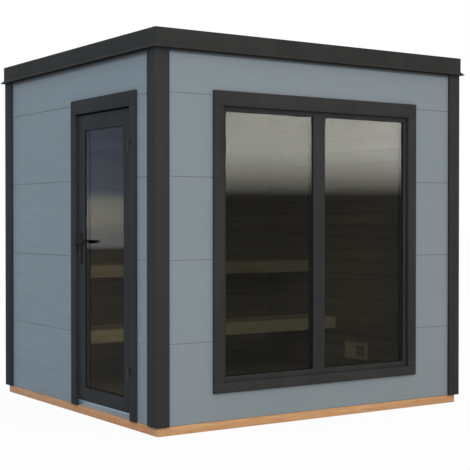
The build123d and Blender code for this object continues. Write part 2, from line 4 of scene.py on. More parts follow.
import bpy
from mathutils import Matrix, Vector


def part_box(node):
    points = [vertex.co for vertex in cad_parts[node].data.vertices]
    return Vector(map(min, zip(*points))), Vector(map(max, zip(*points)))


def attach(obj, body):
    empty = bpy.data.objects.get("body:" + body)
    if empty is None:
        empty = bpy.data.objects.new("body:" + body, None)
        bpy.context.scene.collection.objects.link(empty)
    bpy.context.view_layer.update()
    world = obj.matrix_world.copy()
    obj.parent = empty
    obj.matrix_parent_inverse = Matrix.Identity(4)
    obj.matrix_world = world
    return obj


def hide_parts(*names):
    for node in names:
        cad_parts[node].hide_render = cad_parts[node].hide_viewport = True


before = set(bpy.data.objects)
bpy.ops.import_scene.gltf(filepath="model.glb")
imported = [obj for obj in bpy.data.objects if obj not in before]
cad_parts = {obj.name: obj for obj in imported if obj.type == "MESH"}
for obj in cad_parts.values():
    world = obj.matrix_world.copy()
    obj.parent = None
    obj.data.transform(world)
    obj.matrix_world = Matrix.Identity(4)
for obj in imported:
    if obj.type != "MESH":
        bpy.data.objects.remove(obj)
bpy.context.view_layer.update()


# Ground frame: treated softwood beams, planed and with eased edges, that the walls stand on.
# The two long beams run through, the short ones are screwed between them, and bearers lie inside.
def block(name, low, high):
    """A cube brought to its size and place, with the place in its mesh."""
    bpy.ops.object.select_all(action="DESELECT")
    middle = [(a + b) / 2 for a, b in zip(low, high)]
    bpy.ops.mesh.primitive_cube_add(size=1.0, location=middle)
    piece = bpy.context.object
    piece.name = name
    piece.data.name = name
    piece.scale = [b - a for a, b in zip(low, high)]
    bpy.ops.object.transform_apply(location=True, rotation=False, scale=True)
    return piece


sharp_turn = math.radians(40)
smooth_turn = math.radians(35)


def ease_edges(piece, ease, steps=2):
    """Bevels every sharp edge and smooths across the bevels."""
    bpy.ops.object.mode_set(mode="EDIT")
    bpy.ops.mesh.select_mode(type="EDGE")
    bpy.ops.mesh.select_all(action="DESELECT")
    bpy.ops.mesh.edges_select_sharp(sharpness=sharp_turn)
    bpy.ops.mesh.bevel(offset=ease, segments=steps, affect="EDGES", clamp_overlap=True)
    bpy.ops.object.mode_set(mode="OBJECT")
    bpy.ops.object.shade_smooth_by_angle(angle=smooth_turn)
    return piece


def board(name, low, high, ease):
    """A planed board between two corners, its edges eased."""
    return ease_edges(block(name, low, high), ease)


weld_gap = 0.00002
read_digits = 5


def solids(node):
    """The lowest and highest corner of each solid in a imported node, read from a merged copy of it."""
    bpy.ops.object.select_all(action="DESELECT")
    copy = bpy.data.objects.new("measured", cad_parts[node].data.copy())
    bpy.context.collection.objects.link(copy)
    copy.select_set(True)
    bpy.context.view_layer.objects.active = copy
    bpy.ops.object.mode_set(mode="EDIT")
    bpy.ops.mesh.select_all(action="SELECT")
    bpy.ops.mesh.remove_doubles(threshold=weld_gap)
    bpy.ops.mesh.separate(type="LOOSE")
    bpy.ops.object.mode_set(mode="OBJECT")
    corners = []
    for part in bpy.context.selected_objects:
        reach = [[round(v.co[axis], read_digits) for v in part.data.vertices] for axis in range(3)]
        corners.append((tuple(min(r) for r in reach), tuple(max(r) for r in reach)))
    bpy.ops.object.delete()
    return sorted(corners)


def joined(name, pieces):
    """Several boards made one piece."""
    bpy.ops.object.select_all(action="DESELECT")
    for piece in pieces:
        piece.select_set(True)
    bpy.context.view_layer.objects.active = pieces[0]
    if len(pieces) > 1:
        bpy.ops.object.join()
    pieces[0].name = name
    pieces[0].data.name = name
    return pieces[0]


def start_finish(name, rough, shine=0.5):
    """A node material with one Principled shader, its even values set on the shader itself."""
    material = bpy.data.materials.new(name)
    material.use_nodes = True
    shader = material.node_tree.nodes["Principled BSDF"]
    shader.inputs["Roughness"].default_value = rough
    shader.inputs["Specular IOR Level"].default_value = shine
    return material, material.node_tree, shader


def grain(tree, stretch, scale, detail, warp=0.0):
    """Noise on Object coordinates, drawn out by a stretch on each axis."""
    place = tree.nodes.new("ShaderNodeTexCoord")
    mapping = tree.nodes.new("ShaderNodeMapping")
    mapping.inputs["Scale"].default_value = stretch
    noise = tree.nodes.new("ShaderNodeTexNoise")
    noise.inputs["Scale"].default_value = scale
    noise.inputs["Detail"].default_value = detail
    noise.inputs["Distortion"].default_value = warp
    tree.links.new(place.outputs["Object"], mapping.inputs["Vector"])
    tree.links.new(mapping.outputs["Vector"], noise.inputs["Vector"])
    return noise.outputs["Fac"]


def tones(tree, pattern, stops):
    """A colour for each level of a pattern: stops are (level, colour) pairs."""
    ramp = tree.nodes.new("ShaderNodeValToRGB")
    band = ramp.color_ramp
    while len(band.elements) < len(stops):
        band.elements.new(0.5)
    for element, (level, colour) in zip(band.elements, stops):
        element.position = level
        element.color = (*colour, 1.0)
    tree.links.new(pattern, ramp.inputs["Fac"])
    return ramp.outputs["Color"]


noise_low = 0.3
noise_high = 0.7
full_tone = (1.0, 1.0, 1.0)


def two_tones(tree, noise, low, high, top=noise_high):
    """Two colours for a noise, from its low level up to a top one."""
    return tones(tree, noise, [(noise_low, low), (top, high)])


def shade(tree, first, second):
    """One colour multiplied by another."""
    mix = tree.nodes.new("ShaderNodeMix")
    mix.data_type = "RGBA"
    mix.blend_type = "MULTIPLY"
    mix.inputs["Factor"].default_value = 1.0
    tree.links.new(first, mix.inputs[6])
    tree.links.new(second, mix.inputs[7])
    return mix.outputs[2]


def spread(tree, value, start, end, low=0.0, high=1.0):
    """A value carried over from one range to another, and held at the ends."""
    carry = tree.nodes.new("ShaderNodeMapRange")
    carry.inputs["From Min"].default_value = start
    carry.inputs["From Max"].default_value = end
    carry.inputs["To Min"].default_value = low
    carry.inputs["To Max"].default_value = high
    tree.links.new(value, carry.inputs["Value"])
    return carry.outputs["Result"]


def polish(tree, shader, noise, low, high):
    """Roughness that follows a noise from a low value to a high one."""
    rough = spread(tree, noise, noise_low, noise_high, low, high)
    tree.links.new(rough, shader.inputs["Roughness"])


def relief(tree, shader, pattern, depth, strength):
    """A pattern raised on the surface by a bump of that depth in metres."""
    bump = tree.nodes.new("ShaderNodeBump")
    bump.inputs["Strength"].default_value = strength
    bump.inputs["Distance"].default_value = depth
    tree.links.new(pattern, bump.inputs["Height"])
    tree.links.new(bump.outputs["Normal"], shader.inputs["Normal"])


grain_run = {"x": (0.05, 1.0, 1.0), "y": (1.0, 0.05, 1.0), "xy": (0.05, 0.05, 1.0)}


def wood_finish(name, pale, deep, along, rough=0.55):
    """Planed wood: broad bands, fine streaks and pores that run along one axis."""
    material, tree, shader = start_finish(name, rough, shine=0.35)
    broad = grain(tree, grain_run[along], scale=22.0, detail=3.0, warp=0.6)
    fine = grain(tree, grain_run[along], scale=160.0, detail=5.0, warp=0.2)
    late_wood = [v * 0.9 for v in pale]
    bands = tones(tree, broad, [(noise_low, deep), (0.52, pale), (0.72, late_wood)])
    streak = two_tones(tree, fine, (0.78, 0.74, 0.7), full_tone, top=0.6)
    tree.links.new(shade(tree, bands, streak), shader.inputs["Base Color"])
    polish(tree, shader, fine, low=rough + 0.1, high=rough - 0.08)
    relief(tree, shader, fine, depth=0.0006, strength=0.35)
    return material


def dress(node, material):
    """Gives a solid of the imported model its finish."""
    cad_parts[node].data.materials.clear()
    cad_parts[node].data.materials.append(material)


def fit(piece, material, body, slot, *nodes):
    """Gives a new piece its finish, the body it rides on and the solids it stands for."""
    piece.data.materials.clear()
    piece.data.materials.append(material)
    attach(piece, body)
    if nodes:
        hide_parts(*nodes)


def board_set(name, node, ease, material, slot):
    """One piece of the building from eased boards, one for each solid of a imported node."""
    pieces = [board(name, low, high, ease) for low, high in solids(node)]
    fit(joined(name, pieces), material, "building", slot, node)


timber_x = wood_finish(
    "ground_timber_long", pale=(0.588, 0.33, 0.159), deep=(0.533, 0.288, 0.135), along="x")
timber_y = wood_finish(
    "ground_timber_short", pale=(0.61, 0.295, 0.126), deep=(0.55, 0.256, 0.105), along="y")
timber_ease = 0.005
board_set("ground_beams_long", "base_beams_long", timber_ease, timber_x, "ground_timber")
board_set("ground_beams_short", "base_beams_short", timber_ease, timber_y, "ground_timber")
dress("floor_bearers", timber_y)


# Floor: softwood boards laid side by side over the bearers, with a small round on each edge.
# They run the length of the room, from the door wall to the right wall, and stop at the door's jambs.
floor_low, floor_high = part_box("floor_deck")
notch_low, notch_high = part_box("door_jambs")
floor_rows = 22
floor_wide = (floor_high.y - floor_low.y) / floor_rows
floor_joint = 0.0008
floor_ease = 0.002
floor_boards = []
for row in range(floor_rows):
    near = floor_low.y + row * floor_wide + floor_joint / 2
    far = near + floor_wide - floor_joint
    start = notch_high.x if far > notch_low.y and near < notch_high.y else floor_low.x
    floor_boards.append(
        board("floor_board", (start, near, floor_low.z), (floor_high.x, far, floor_high.z), floor_ease))
floor_wood = wood_finish("floor_wood", (0.55, 0.42, 0.27), (0.42, 0.3, 0.17), "x", rough=0.5)
fit(joined("floor_boards", floor_boards), floor_wood, "building", "lining_wood", "floor_deck")


# Wall panels: composite boards in five courses, pressed with a faint lengthwise wood grain.
# Each course is chamfered along its edges, so that a fine V shows at every joint.
panel_finish, panel_tree, panel_shader = start_finish("wall_panel_grey", rough=0.55, shine=0.15)
panel_deep = (0.208, 0.245, 0.269)
panel_pale = (0.221, 0.26, 0.285)
panel_cloud = grain(panel_tree, (0.5, 0.5, 1.0), scale=3.2, detail=2.0)
panel_streak = grain(panel_tree, (0.03, 0.03, 1.0), scale=95.0, detail=6.0, warp=0.3)
panel_line = grain(panel_tree, (0.012, 0.012, 1.0), scale=320.0, detail=3.0)
panel_base = two_tones(panel_tree, panel_streak, panel_deep, panel_pale, top=0.66)
panel_tint = two_tones(panel_tree, panel_cloud, (0.975, 0.98, 0.985), full_tone)
panel_fine = two_tones(panel_tree, panel_line, [0.965] * 3, full_tone, top=0.55)
panel_colour = shade(panel_tree, shade(panel_tree, panel_base, panel_tint), panel_fine)
panel_tree.links.new(panel_colour, panel_shader.inputs["Base Color"])
polish(panel_tree, panel_shader, panel_streak, low=0.62, high=0.5)
relief(panel_tree, panel_shader, panel_streak, depth=0.0004, strength=0.2)
for node in ("front_panel_bottom", "front_panels_left", "front_panels_right", "front_panel_top",
             "door_wall_panels_near", "door_wall_panels_far", "door_wall_panel_top",
             "back_wall_panels", "right_wall_panels"):
    dress(node, panel_finish)


# Inner lining: tongue and groove softwood boards on the walls and the ceiling, bare and warm.
# A V shows at each joint, level along the walls and the length of the room overhead.
axis_x, axis_y, axis_z = 0, 1, 2
lining_pitch = 0.095
vee_half = 0.003
vee_deep = 0.0025


def axis_value(tree, axis):
    """Where a point of the piece lies along one axis."""
    place = tree.nodes.new("ShaderNodeTexCoord")
    split = tree.nodes.new("ShaderNodeSeparateXYZ")
    tree.links.new(place.outputs["Object"], split.inputs["Vector"])
    return split.outputs[axis]


def feed(tree, socket, value):
    """Gives a socket a plain number, or the value of another node."""
    if isinstance(value, float):
        socket.default_value = value
    else:
        tree.links.new(value, socket)


def reckon(tree, operation, first, second=0.0):
    """One step of arithmetic on a node's value, with a number or another node's value."""
    step = tree.nodes.new("ShaderNodeMath")
    step.operation = operation
    tree.links.new(first, step.inputs[0])
    feed(tree, step.inputs[1], second)
    return step.outputs["Value"]


def lining_finish(name, across, along):
    """Boards of one width: a groove at each joint, a tone of its own on each board, grain along it."""
    material, tree, shader = start_finish(name, rough=0.55, shine=0.3)
    count = reckon(tree, "MULTIPLY", axis_value(tree, across), 1 / lining_pitch)
    own = tree.nodes.new("ShaderNodeTexWhiteNoise")
    own.noise_dimensions = "1D"
    tree.links.new(reckon(tree, "FLOOR", count), own.inputs["W"])
    from_joint = reckon(tree, "PINGPONG", count, 0.5)
    broad = grain(tree, grain_run[along], scale=24.0, detail=4.0, warp=0.8)
    fine = grain(tree, grain_run[along], scale=170.0, detail=5.0, warp=0.2)
    base = two_tones(tree, broad, (0.235, 0.162, 0.092), (0.312, 0.229, 0.14), top=0.6)
    streak = two_tones(tree, fine, (0.86, 0.84, 0.82), full_tone, top=0.6)
    tone = tones(tree, own.outputs["Value"], [(0.0, (0.82, 0.8, 0.78)), (1.0, full_tone)])
    joint = tones(tree, from_joint, [(0.01, (0.6, 0.57, 0.55)), (0.03, full_tone)])
    wood = shade(tree, shade(tree, base, tone), streak)
    tree.links.new(shade(tree, wood, joint), shader.inputs["Base Color"])
    polish(tree, shader, fine, low=0.62, high=0.48)
    relief(tree, shader, fine, depth=0.0005, strength=0.35)
    return material


def cut_across(place, normal):
    """Cuts every face of the piece in hand along a plane, keeps both sides and stays in edit mode."""
    bpy.ops.object.mode_set(mode="EDIT")
    bpy.ops.mesh.select_all(action="SELECT")
    bpy.ops.mesh.bisect(plane_co=place, plane_no=normal)


def pull(piece, wanted, shift):
    """Moves the corners of a piece that pass the test."""
    bpy.ops.object.mode_set(mode="EDIT")
    bpy.ops.mesh.select_mode(type="VERT")
    bpy.ops.mesh.select_all(action="DESELECT")
    bpy.ops.object.mode_set(mode="OBJECT")
    for corner in piece.data.vertices:
        corner.select = bool(wanted(corner.co))
    bpy.ops.object.mode_set(mode="EDIT")
    bpy.ops.transform.translate(value=shift)
    bpy.ops.object.mode_set(mode="OBJECT")


def pick_faces(piece, wanted):
    """Selects just the faces whose normal and middle pass the test, and stays in edit mode."""
    bpy.ops.object.mode_set(mode="EDIT")
    bpy.ops.mesh.select_mode(type="FACE")
    bpy.ops.mesh.select_all(action="DESELECT")
    bpy.ops.object.mode_set(mode="OBJECT")
    for face in piece.data.polygons:
        face.select = bool(wanted(face.normal, face.center))
    bpy.ops.object.mode_set(mode="EDIT")


square_on = 0.9
first_inset = 0.001


def surround(name, flat, low, high, hole_low, hole_high, ease, steps=2):
    """A frame from one block: both flat sides are inset, fitted to the hole and bridged through."""
    piece = block(name, low, high)
    pick_faces(piece, lambda normal, middle: abs(normal[flat]) > square_on)
    bpy.ops.mesh.inset(thickness=first_inset, use_individual=True)
    middle = [(a + b) / 2 for a, b in zip(low, high)]
    corners = list(zip(low, high, hole_low, hole_high))
    size = [(d - c) / (b - a - 2 * first_inset) for a, b, c, d in corners]
    shift = [(c + d - a - b) / 2 for a, b, c, d in corners]
    size[flat] = 1.0
    shift[flat] = 0.0
    bpy.ops.transform.resize(value=size, center_override=middle)
    bpy.ops.transform.translate(value=shift)
    bpy.ops.mesh.bridge_edge_loops()
    bpy.ops.object.mode_set(mode="OBJECT")
    return ease_edges(piece, ease, steps)


on_face = 0.0001
on_line = 0.0003


def vee_joints(piece, low, high, across, face, inward):
    """Cuts a V into a lining's room side at each joint: inward is the way into the wall along face."""
    numbers = range(math.floor(low[across] / lining_pitch), math.ceil(high[across] / lining_pitch) + 1)
    joints = [number * lining_pitch for number in numbers]
    joints = [joint for joint in joints if low[across] + vee_half < joint < high[across] - vee_half]
    normal = [float(axis == across) for axis in range(3)]
    for joint in joints:
        for level in (joint - vee_half, joint, joint + vee_half):
            cut_across([level * way for way in normal], normal)
    room_side = low[face] if inward > 0 else high[face]
    shift = [inward * vee_deep * (axis == face) for axis in range(3)]
    pull(piece, lambda spot: abs(spot[face] - room_side) < on_face
         and any(abs(spot[across] - joint) < on_line for joint in joints), shift)
    return piece


wall_lining = lining_finish("wall_lining_boards", "Z", "xy")
ceiling_lining = lining_finish("ceiling_boards", "Y", "x")
for node, finish, across, face, inward in (
        ("front_lining", wall_lining, axis_z, axis_y, -1),
        ("door_wall_lining", wall_lining, axis_z, axis_x, -1),
        ("back_lining", wall_lining, axis_z, axis_y, 1),
        ("ceiling_lining", ceiling_lining, axis_y, axis_z, 1)):
    sheets = [vee_joints(block("sheet", low, high), low, high, across, face, inward)
              for low, high in solids(node)]
    fit(joined(node + "_boards", sheets), finish, "building", "lining_wood", node)
right_low, right_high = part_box("right_lining")
outer_rim = 0.01
hole_ease = 0.0005
air_hole = [corner.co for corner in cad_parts["right_lining"].data.vertices
            if right_low.y + outer_rim < corner.co.y < right_high.y - outer_rim]
air_low = [min(spot[axis] for spot in air_hole) for axis in range(3)]
air_high = [max(spot[axis] for spot in air_hole) for axis in range(3)]
right_sheet = surround("sheet", axis_x, right_low, right_high, air_low, air_high, hole_ease)
vee_joints(right_sheet, right_low, right_high, axis_z, axis_x, 1)
fit(joined("right_lining_boards", [right_sheet]), wall_lining, "building", "lining_wood", "right_lining")


# Corner trims: anthracite composite angles, fixed over the ends of the wall panels.
# One flange lies on each wall, and the edges are slightly rounded from the extrusion.
trim_thick = 0.018
trim_ease = 0.002


def corner_trim(low, high):
    """An angle for one corner: a flange along X is cut at its thickness and drawn out along Y."""
    side = 1 if low[0] > 0 else -1
    end = 1 if low[1] > 0 else -1
    front = high[1] - trim_thick if end > 0 else low[1]
    turn_x = high[0] - trim_thick if side > 0 else low[0] + trim_thick
    reach = high[1] - low[1] - trim_thick
    trim = block("corner_trim", (low[0], front, low[2]), (high[0], front + trim_thick, high[2]))
    cut_across((turn_x, 0, 0), (1, 0, 0))
    pick_faces(trim, lambda normal, middle: normal.y * end < -square_on and (middle.x - turn_x) * side > 0)
    bpy.ops.mesh.extrude_region_move(TRANSFORM_OT_translate={"value": (0, -end * reach, 0)})
    bpy.ops.object.mode_set(mode="OBJECT")
    return ease_edges(trim, trim_ease)


no_stretch = (1.0, 1.0, 1.0)


def dark_finish(name, colour, rough, fleck, depth):
    """A coated or coloured surface with a fine grained skin and slow changes of tone."""
    material, tree, shader = start_finish(name, rough, shine=0.012)
    slow = grain(tree, (1.0, 1.0, 0.35), scale=5.0, detail=3.0)
    skin = grain(tree, no_stretch, scale=fleck, detail=3.0)
    base = two_tones(tree, slow, [v * 0.9 for v in colour], [v * 1.1 for v in colour])
    speck = two_tones(tree, skin, [0.86] * 3, full_tone)
    tree.links.new(shade(tree, base, speck), shader.inputs["Base Color"])
    polish(tree, shader, skin, low=rough - 0.06, high=rough + 0.08)
    relief(tree, shader, skin, depth, strength=0.3)
    return material


trim_finish = dark_finish(
    "dark_trim_satin", (0.0385, 0.0398, 0.0405), rough=0.5, fleck=420.0, depth=0.0004)
for name, node in (("corner_trims_front", "corner_posts_front"), ("corner_trims_back", "corner_posts_back")):
    trims = [corner_trim(low, high) for low, high in solids(node)]
    fit(joined(name, trims), trim_finish, "building", "dark_trim", node)


# Window casing: four composite boards fixed over the joint between the window and the panels.
# The head and the sill run through, and the uprights stand between them.
casing_ease = 0.0015
board_set("window_casing_boards", "window_casing", casing_ease, trim_finish, "dark_trim")


# Window frame: a welded anthracite profile with a wide mullion, and a sealed pane in each light.
# The panes sit back in the profile, and a black rubber gasket closes the edge of the glass.
profile_finish = dark_finish(
    "frame_profile_satin", (0.0385, 0.0395, 0.0398), rough=0.45, fleck=600.0, depth=0.0003)
profile_ease = 0.002
frame_low, frame_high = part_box("window_frame")
sill_bar, left_bar, head_bar, right_bar = solids("window_frame")
sight_low = (left_bar[1][0], frame_low.y, sill_bar[1][2])
sight_high = (right_bar[0][0], frame_high.y, head_bar[0][2])
window_pieces = [
    surround("frame", axis_y, frame_low, frame_high, sight_low, sight_high, profile_ease),
    board("mullion", *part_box("window_mullion"), profile_ease),
]
fit(joined("window_frame_profile", window_pieces), profile_finish, "building", "frame_profile",
    "window_frame", "window_mullion")

rubber_finish = dark_finish("gasket_rubber", (0.008, 0.008, 0.008), rough=0.6, fleck=900.0, depth=0.0003)
seal_wide = 0.0015
seal_back = 0.001
seal_ease = 0.0005
face_gap = 0.0001


def pane_seal(flat, pane_low, pane_high, bury, proud):
    """A thin deep ring on the outside of a pane: bury is how far the pane's edges sit in the frame."""
    low = [v + bury + face_gap for v in pane_low]
    high = [v - bury - face_gap for v in pane_high]
    low[flat] = pane_low[flat] - proud
    high[flat] = pane_low[flat] - face_gap
    hole_low = [v + seal_wide for v in low]
    hole_high = [v - seal_wide for v in high]
    return surround("seal", flat, low, high, hole_low, hole_high, seal_ease)


panes = solids("window_glass")
window_bury = sight_low[0] - panes[0][0][0]
window_proud = panes[0][0][1] - frame_low.y - seal_back
window_seals = [pane_seal(axis_y, low, high, window_bury, window_proud) for low, high in panes]
fit(joined("window_gaskets", window_seals), rubber_finish, "building", "frame_profile")


# Panes: sealed units of dark tinted float glass, polished, with a very slight clouding of the tint.
# The window's two panes are darker than the door's pane and mirror a little more.
def either_shader(tree, share, first, second):
    """Two shaders mixed, where a share of one gives only the second."""
    mix = tree.nodes.new("ShaderNodeMixShader")
    feed(tree, mix.inputs["Fac"], share)
    tree.links.new(first, mix.inputs[1])
    tree.links.new(second, mix.inputs[2])
    return mix.outputs["Shader"]


def glass_finish(name, tint, bend):
    """Tinted glass that bends and mirrors light, and lets the lamps through to the room.
    Light crosses two faces of a pane, so each face takes half of the tint from it."""
    material, tree, shader = start_finish(name, rough=0.0)
    shader.inputs["Transmission Weight"].default_value = 1.0
    shader.inputs["IOR"].default_value = bend
    cloud = grain(tree, no_stretch, scale=1.5, detail=1.0)
    tree.links.new(two_tones(tree, cloud, [v * 0.96 for v in tint], tint), shader.inputs["Base Color"])
    through = tree.nodes.new("ShaderNodeBsdfTransparent")
    through.inputs["Color"].default_value = (*[math.sqrt(v) for v in tint], 1.0)
    rays = tree.nodes.new("ShaderNodeLightPath")
    surface = either_shader(
        tree, rays.outputs["Is Shadow Ray"], shader.outputs["BSDF"], through.outputs["BSDF"])
    tree.links.new(surface, tree.nodes["Material Output"].inputs["Surface"])
    return material


dress("window_glass", glass_finish("tinted_window_pane", tint=(0.31, 0.345, 0.325), bend=1.16))
dress("door_glass", glass_finish("tinted_door_pane", tint=(0.375, 0.385, 0.345), bend=1.075))


# Door surround: casing boards on the wall, a rebated frame behind them and a rubber seal on its stops.
# The threshold is an anodised aluminium sill with a stepped face and a chamfered nose.
# Five V grooves run along its top, which is painted up to twice as bright, a painted highlight.
board_set("door_casing_boards", "door_casing", casing_ease, trim_finish, "dark_trim")
dress("door_jambs", profile_finish)
dress("door_head", profile_finish)

near_jamb, far_jamb = sorted(solids("door_jambs"), key=lambda jamb: jamb[0][1])
leaf_low, leaf_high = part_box("door_stiles")
sill_low, sill_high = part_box("door_threshold")
stop_gap = 0.005
strip_wide = 0.008
strip_deep = 0.004
strip_rise = 0.008
strip_drop = 0.004
strip_inset = 0.001
strip_break = 0.0002
strip_ease = 0.0015
stop_x = leaf_high.x + stop_gap
strip_x = (stop_x - strip_deep, stop_x - face_gap)
strip_foot = sill_high.z + strip_rise
strip_top = leaf_high.z - strip_drop
strip_near = near_jamb[1][1] - strip_inset
strip_far = far_jamb[0][1] + strip_inset
strip_spans = (
    (strip_near - strip_wide, strip_near, strip_foot),
    (strip_far, strip_far + strip_wide, strip_foot),
    (strip_near + strip_break, strip_far - strip_break, strip_top - strip_wide),
)
seal_strips = [
    board("seal_strip", (strip_x[0], near, foot), (strip_x[1], far, strip_top), strip_ease)
    for near, far, foot in strip_spans
]
fit(joined("door_seal", seal_strips), rubber_finish, "building", "frame_profile")

sill_rise = 0.017
sill_step = sill_low.z + sill_rise
sill_crease = 0.0004
sill_set_in = 0.002
sill_nose = 0.004
sill_ease = 0.0006
groove_count = 5
groove_first = 0.014
groove_pitch = 0.008
groove_half = 0.0012
groove_deep = 0.0012
threshold = block("threshold_sill", sill_low, sill_high)
cut_across((0, 0, sill_step), (0, 0, 1))
cut_across((0, 0, sill_step - sill_crease), (0, 0, 1))
pull(threshold, lambda spot: spot.x < sill_low.x + on_face and spot.z < sill_step - sill_crease / 2,
     (sill_set_in, 0, 0))
cut_across((0, 0, sill_high.z - sill_nose), (0, 0, 1))
pull(threshold, lambda spot: spot.x < sill_low.x + on_face and spot.z > sill_high.z - on_face,
     (sill_nose, 0, 0))
for groove in range(groove_count):
    groove_x = sill_low.x + groove_first + groove * groove_pitch
    for cut_x in (groove_x - groove_half, groove_x, groove_x + groove_half):
        cut_across((cut_x, 0, 0), (1, 0, 0))
    pull(threshold, lambda spot: abs(spot.x - groove_x) < on_line and spot.z > sill_high.z - on_face,
         (0, 0, -groove_deep))
ease_edges(threshold, sill_ease)
sill_finish, sill_tree, sill_shader = start_finish("anodised_sill", rough=0.36)
sill_shader.inputs["Metallic"].default_value = 0.3
sill_brush = grain(sill_tree, (1.0, 0.02, 1.0), scale=380.0, detail=4.0)
sill_tone = two_tones(sill_tree, sill_brush, (0.155, 0.19, 0.215), (0.19, 0.23, 0.255))
sill_height = spread(sill_tree, axis_value(sill_tree, "Z"), sill_low.z, sill_high.z)
sill_face = (0.96, 1.0, 1.0)
# Painted highlight: the top and the nose are painted up to twice as bright, and a darker band runs just
# above the step.
sill_painted_light = tones(sill_tree, sill_height, [
    (0.4, (1.0, 0.98, 0.94)), (0.44, (0.8, 0.82, 0.84)), (0.48, sill_face), (0.84, sill_face),
    (0.9, (2.0, 1.95, 1.9))])
sill_tree.links.new(shade(sill_tree, sill_tone, sill_painted_light), sill_shader.inputs["Base Color"])
polish(sill_tree, sill_shader, sill_brush, low=0.3, high=0.44)
relief(sill_tree, sill_shader, sill_brush, depth=0.0003, strength=0.3)
fit(threshold, sill_finish, "building", "threshold_metal", "door_threshold")


# Door leaf: a welded anthracite frame with one tall pane in its groove, behind a rubber gasket.
# It turns outwards on two lift-off hinges at the near jamb.
leaf_ease = 0.0025
leaf_steps = 3
near_stile, far_stile = sorted(solids("door_stiles"), key=lambda stile: stile[0][1])
bottom_rail, top_rail = sorted(solids("door_rails"), key=lambda rail: rail[0][2])
light_low = (leaf_low.x, near_stile[1][1], bottom_rail[1][2])
light_high = (leaf_high.x, far_stile[0][1], top_rail[0][2])
leaf_frame = surround("leaf", axis_x, leaf_low, leaf_high, light_low, light_high, leaf_ease, leaf_steps)
fit(joined("door_leaf_frame", [leaf_frame]), profile_finish, "door", "frame_profile",
    "door_stiles", "door_rails")
door_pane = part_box("door_glass")
door_bury = light_low[1] - door_pane[0].y
door_proud = door_pane[0].x - leaf_low.x - seal_back
door_seal = pane_seal(axis_x, *door_pane, door_bury, door_proud)
fit(joined("door_gasket", [door_seal]), rubber_finish, "door", "frame_profile")


# Handle set: a narrow plate on each face of the leaf, a lever on one spindle through both, a key cylinder.
# Plates and levers are die cast and coated dark, and the cylinder is dark steel.
# Two screws hold each plate.
def disc(name, place, radius, deep, corners=32):
    """A round disc that faces X, with its place in its mesh."""
    bpy.ops.object.select_all(action="DESELECT")
    bpy.ops.mesh.primitive_cylinder_add(
        vertices=corners, radius=radius, depth=deep, location=place, rotation=(0, math.pi / 2, 0))
    piece = bpy.context.object
    piece.name = name
    bpy.ops.object.transform_apply(location=True, rotation=True, scale=True)
    return piece


rim_limit = 0.5
side_limit = 0.01


def rounded_bar(name, place, radius, deep, draw, ease, steps=3):
    """A disc whose rim is drawn out along Y or Z from one half, to make a bar with round ends."""
    bar = disc(name, place, radius, deep)
    way = [(v > 0) - (v < 0) for v in draw]
    pick_faces(bar, lambda normal, middle: abs(normal.x) < rim_limit
               and sum(a * b for a, b in zip(normal, way)) > side_limit)
    bpy.ops.mesh.extrude_region_move(TRANSFORM_OT_translate={"value": draw})
    bpy.ops.object.mode_set(mode="OBJECT")
    return ease_edges(bar, ease, steps)


screw_deep = 0.0016
screw_ease = 0.0003
socket_share = 0.5
socket_deep = 0.0009


def screw_head(place, facing, radius):
    """A countersunk screw: a disc facing X with its socket sunk into it."""
    head = disc("screw", place, radius, screw_deep, corners=24)
    pick_faces(head, lambda normal, middle: normal.x * facing > square_on)
    bpy.ops.mesh.inset(thickness=radius * socket_share)
    bpy.ops.mesh.extrude_region_move(TRANSFORM_OT_translate={"value": (-facing * socket_deep, 0, 0)})
    bpy.ops.object.mode_set(mode="OBJECT")
    return ease_edges(head, screw_ease, steps=1)


handle_finish = dark_finish("handle_coat", (0.024, 0.021, 0.021), rough=0.45, fleck=700.0, depth=0.0002)
plate_ease = 0.0024
plate_screw = 0.0032
screw_out = 0.003
screw_sunk = 0.0004
plate_pieces = []
for facing, (plate_low, plate_high) in zip((-1, 1), solids("handle_plates")):
    plate_round = (plate_high[1] - plate_low[1]) / 2
    plate_x = (plate_low[0] + plate_high[0]) / 2
    plate_y = (plate_low[1] + plate_high[1]) / 2
    plate_deep = plate_high[0] - plate_low[0]
    foot = plate_low[2] + plate_round
    rise = plate_high[2] - plate_round - foot
    plate_pieces.append(
        rounded_bar("plate", (plate_x, plate_y, foot), plate_round, plate_deep, (0, 0, rise), plate_ease))
    screw_x = plate_x + facing * (plate_deep / 2 - screw_sunk)
    for screw_z in (foot - screw_out, foot + rise + screw_out):
        plate_pieces.append(screw_head((screw_x, plate_y, screw_z), facing, plate_screw))
fit(joined("handle_plate_set", plate_pieces), handle_finish, "door", "handle_metal", "handle_plates")

lever_low, lever_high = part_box("door_levers")
grip_round = (lever_high.z - lever_low.z) / 2
grip_thick = 0.012
grip_ease = 0.004
grip_steps = 4
neck_round = 0.009
neck_flare = 1.25
neck_ease = 0.001
spindle_half = 0.004
spindle_out = 0.005
spindle_ease = 0.0005
spindle_z = (lever_high.z + lever_low.z) / 2
spindle_y = lever_high.y - grip_round
grip_draw = lever_low.y + grip_round - spindle_y
lever_pieces = []
for facing, grip_end, plate_face in ((-1, lever_low.x, leaf_low.x - plate_deep),
                                     (1, lever_high.x, leaf_high.x + plate_deep)):
    grip_x = grip_end - facing * grip_thick / 2
    lever_pieces.append(rounded_bar(
        "grip", (grip_x, spindle_y, spindle_z), grip_round, grip_thick, (0, grip_draw, 0),
        grip_ease, grip_steps))
    neck_x = (grip_x + plate_face) / 2
    neck = disc("neck", (neck_x, spindle_y, spindle_z), neck_round, abs(grip_x - plate_face))
    pick_faces(neck, lambda normal, middle: normal.x * facing < -square_on)
    bpy.ops.transform.resize(
        value=(1, neck_flare, neck_flare), center_override=(plate_face, spindle_y, spindle_z))
    bpy.ops.object.mode_set(mode="OBJECT")
    lever_pieces.append(ease_edges(neck, neck_ease))
